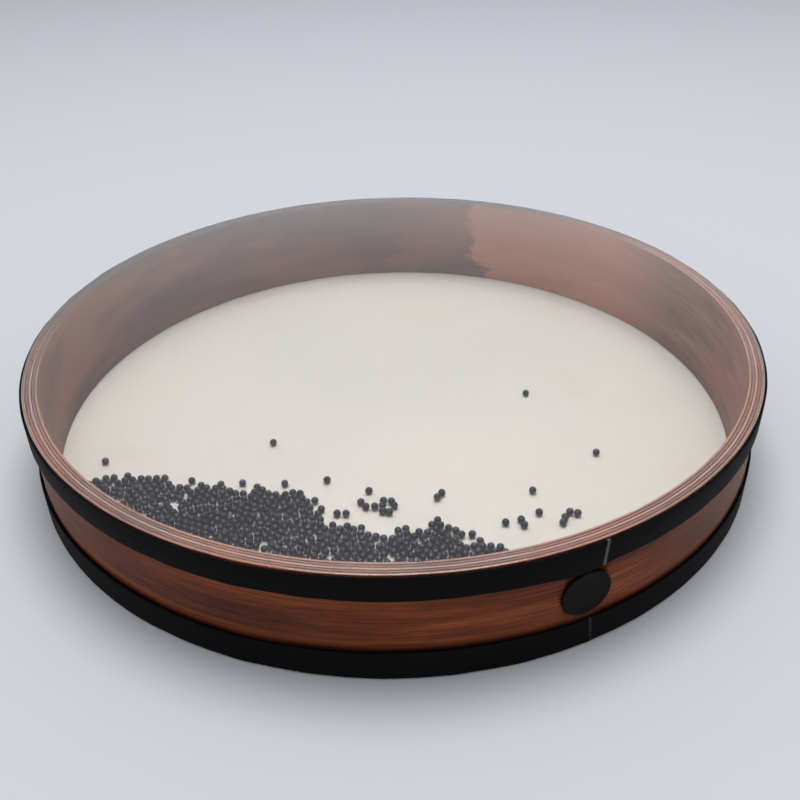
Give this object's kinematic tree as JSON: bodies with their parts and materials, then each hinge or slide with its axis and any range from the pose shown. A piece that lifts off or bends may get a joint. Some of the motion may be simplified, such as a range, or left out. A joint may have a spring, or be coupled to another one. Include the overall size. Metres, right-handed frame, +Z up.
{
  "type": "ocean drum",
  "caption": "Shallow plywood hoop drum with a clear top head, an ivory bottom head, black edge bands, a filling port with its plug, and loose steel beads that roll between the heads.",
  "frame": {"origin": "middle of the bottom head's underside, on the surface that the drum lies on", "axes": "+Z up through the heads, -Y out through the filling port, +X to the port's right as seen from outside"},
  "size_m": [0.404, 0.404, 0.0592],
  "materials": {
    "stained_wood": "dark red-brown stain, satin",
    "core_wood": "sanded plywood edge, lightly stained",
    "clear_film": "clear gloss",
    "ivory_film": "matte",
    "black_band": "matte",
    "black_rubber": "satin",
    "bead_steel": "dark polished"
  },
  "bodies": {
    "drum": {"hoop_ply_1": "stained_wood", "hoop_ply_2": "core_wood", "hoop_ply_3": "core_wood", "hoop_ply_4": "core_wood", "hoop_ply_5": "stained_wood", "top_head": "clear_film", "top_head_collar": "clear_film", "bottom_head": "ivory_film", "bottom_head_collar": "ivory_film", "top_band": "black_band", "bottom_band": "black_band"},
    "port_plug": {"port_plug": "black_rubber"},
    "bead_heap": {"bead_heap_1": "bead_steel", "bead_heap_2": "bead_steel", "bead_heap_3": "bead_steel", "bead_heap_4": "bead_steel", "bead_heap_5": "bead_steel", "bead_heap_6": "bead_steel"},
    "loose_bead_01": {"loose_bead_01": "bead_steel"},
    "loose_bead_02": {"loose_bead_02": "bead_steel"},
    "loose_bead_03": {"loose_bead_03": "bead_steel"},
    "loose_bead_04": {"loose_bead_04": "bead_steel"},
    "loose_bead_05": {"loose_bead_05": "bead_steel"},
    "loose_bead_06": {"loose_bead_06": "bead_steel"},
    "loose_bead_07": {"loose_bead_07": "bead_steel"},
    "loose_bead_08": {"loose_bead_08": "bead_steel"},
    "loose_bead_09": {"loose_bead_09": "bead_steel"},
    "loose_bead_10": {"loose_bead_10": "bead_steel"},
    "loose_bead_11": {"loose_bead_11": "bead_steel"},
    "loose_bead_12": {"loose_bead_12": "bead_steel"},
    "loose_bead_13": {"loose_bead_13": "bead_steel"},
    "loose_bead_14": {"loose_bead_14": "bead_steel"},
    "loose_bead_15": {"loose_bead_15": "bead_steel"},
    "loose_bead_16": {"loose_bead_16": "bead_steel"},
    "loose_bead_17": {"loose_bead_17": "bead_steel"},
    "loose_bead_18": {"loose_bead_18": "bead_steel"},
    "loose_bead_19": {"loose_bead_19": "bead_steel"},
    "loose_bead_20": {"loose_bead_20": "bead_steel"},
    "loose_bead_21": {"loose_bead_21": "bead_steel"},
    "loose_bead_22": {"loose_bead_22": "bead_steel"}
  },
  "joints": [
    {"name": "port_plug_pull", "type": "slide", "parent": "drum", "child": "port_plug", "axis": [0, -1, 0], "range_m": [0, 0.03]},
    {"name": "bead_swirl", "type": "hinge", "parent": "drum", "child": "bead_heap", "pos_m": [0, 0, 0.0026], "axis": [0, 0, 1], "continuous": true},
    {"name": "loose_bead_01_roll", "type": "slide", "parent": "bead_heap", "child": "loose_bead_01", "axis": [-0.6293, -0.7771, 0], "range_m": [-0.2, 0.01]},
    {"name": "loose_bead_02_roll", "type": "slide", "parent": "bead_heap", "child": "loose_bead_02", "axis": [-0.6293, -0.7771, 0], "range_m": [-0.22, 0.034]},
    {"name": "loose_bead_03_roll", "type": "slide", "parent": "bead_heap", "child": "loose_bead_03", "axis": [-0.6293, -0.7771, 0], "range_m": [-0.13, 0.13]},
    {"name": "loose_bead_04_roll", "type": "slide", "parent": "bead_heap", "child": "loose_bead_04", "axis": [-0.6293, -0.7771, 0], "range_m": [-0.15, 0.08]},
    {"name": "loose_bead_05_roll", "type": "slide", "parent": "bead_heap", "child": "loose_bead_05", "axis": [-0.6293, -0.7771, 0], "range_m": [-0.21, 0.012]},
    {"name": "loose_bead_06_roll", "type": "slide", "parent": "bead_heap", "child": "loose_bead_06", "axis": [-0.6293, -0.7771, 0], "range_m": [-0.23, 0.027]},
    {"name": "loose_bead_07_roll", "type": "slide", "parent": "bead_heap", "child": "loose_bead_07", "axis": [-0.6293, -0.7771, 0], "range_m": [-0.25, 0.012]},
    {"name": "loose_bead_08_roll", "type": "slide", "parent": "bead_heap", "child": "loose_bead_08", "axis": [-0.6293, -0.7771, 0], "range_m": [-0.006, 0.017]},
    {"name": "loose_bead_09_roll", "type": "slide", "parent": "bead_heap", "child": "loose_bead_09", "axis": [-0.6293, -0.7771, 0], "range_m": [0, 0.022]},
    {"name": "loose_bead_10_roll", "type": "slide", "parent": "bead_heap", "child": "loose_bead_10", "axis": [-0.6293, -0.7771, 0], "range_m": [-0.21, 0.028]},
    {"name": "loose_bead_11_roll", "type": "slide", "parent": "bead_heap", "child": "loose_bead_11", "axis": [-0.6293, -0.7771, 0], "range_m": [0, 0.013]},
    {"name": "loose_bead_12_roll", "type": "slide", "parent": "bead_heap", "child": "loose_bead_12", "axis": [-0.6293, -0.7771, 0], "range_m": [-0.26, 0.002]},
    {"name": "loose_bead_13_roll", "type": "slide", "parent": "bead_heap", "child": "loose_bead_13", "axis": [-0.6293, -0.7771, 0], "range_m": [-0.26, 0.01]},
    {"name": "loose_bead_14_roll", "type": "slide", "parent": "bead_heap", "child": "loose_bead_14", "axis": [-0.6293, -0.7771, 0], "range_m": [-0.26, 0]},
    {"name": "loose_bead_15_roll", "type": "slide", "parent": "bead_heap", "child": "loose_bead_15", "axis": [-0.6293, -0.7771, 0], "range_m": [-0.27, 0.002]},
    {"name": "loose_bead_16_roll", "type": "slide", "parent": "bead_heap", "child": "loose_bead_16", "axis": [-0.6293, -0.7771, 0], "range_m": [-0.28, 0.002]},
    {"name": "loose_bead_17_roll", "type": "slide", "parent": "bead_heap", "child": "loose_bead_17", "axis": [-0.6293, -0.7771, 0], "range_m": [0, 0.012]},
    {"name": "loose_bead_18_roll", "type": "slide", "parent": "bead_heap", "child": "loose_bead_18", "axis": [-0.6293, -0.7771, 0], "range_m": [0, 0.012]},
    {"name": "loose_bead_19_roll", "type": "slide", "parent": "bead_heap", "child": "loose_bead_19", "axis": [-0.6293, -0.7771, 0], "range_m": [-0.26, 0]},
    {"name": "loose_bead_20_roll", "type": "slide", "parent": "bead_heap", "child": "loose_bead_20", "axis": [-0.6293, -0.7771, 0], "range_m": [-0.26, 0.013]},
    {"name": "loose_bead_21_roll", "type": "slide", "parent": "bead_heap", "child": "loose_bead_21", "axis": [-0.6293, -0.7771, 0], "range_m": [-0.22, 0]},
    {"name": "loose_bead_22_roll", "type": "slide", "parent": "bead_heap", "child": "loose_bead_22", "axis": [-0.6293, -0.7771, 0], "range_m": [-0.25, 0]}
  ]
}
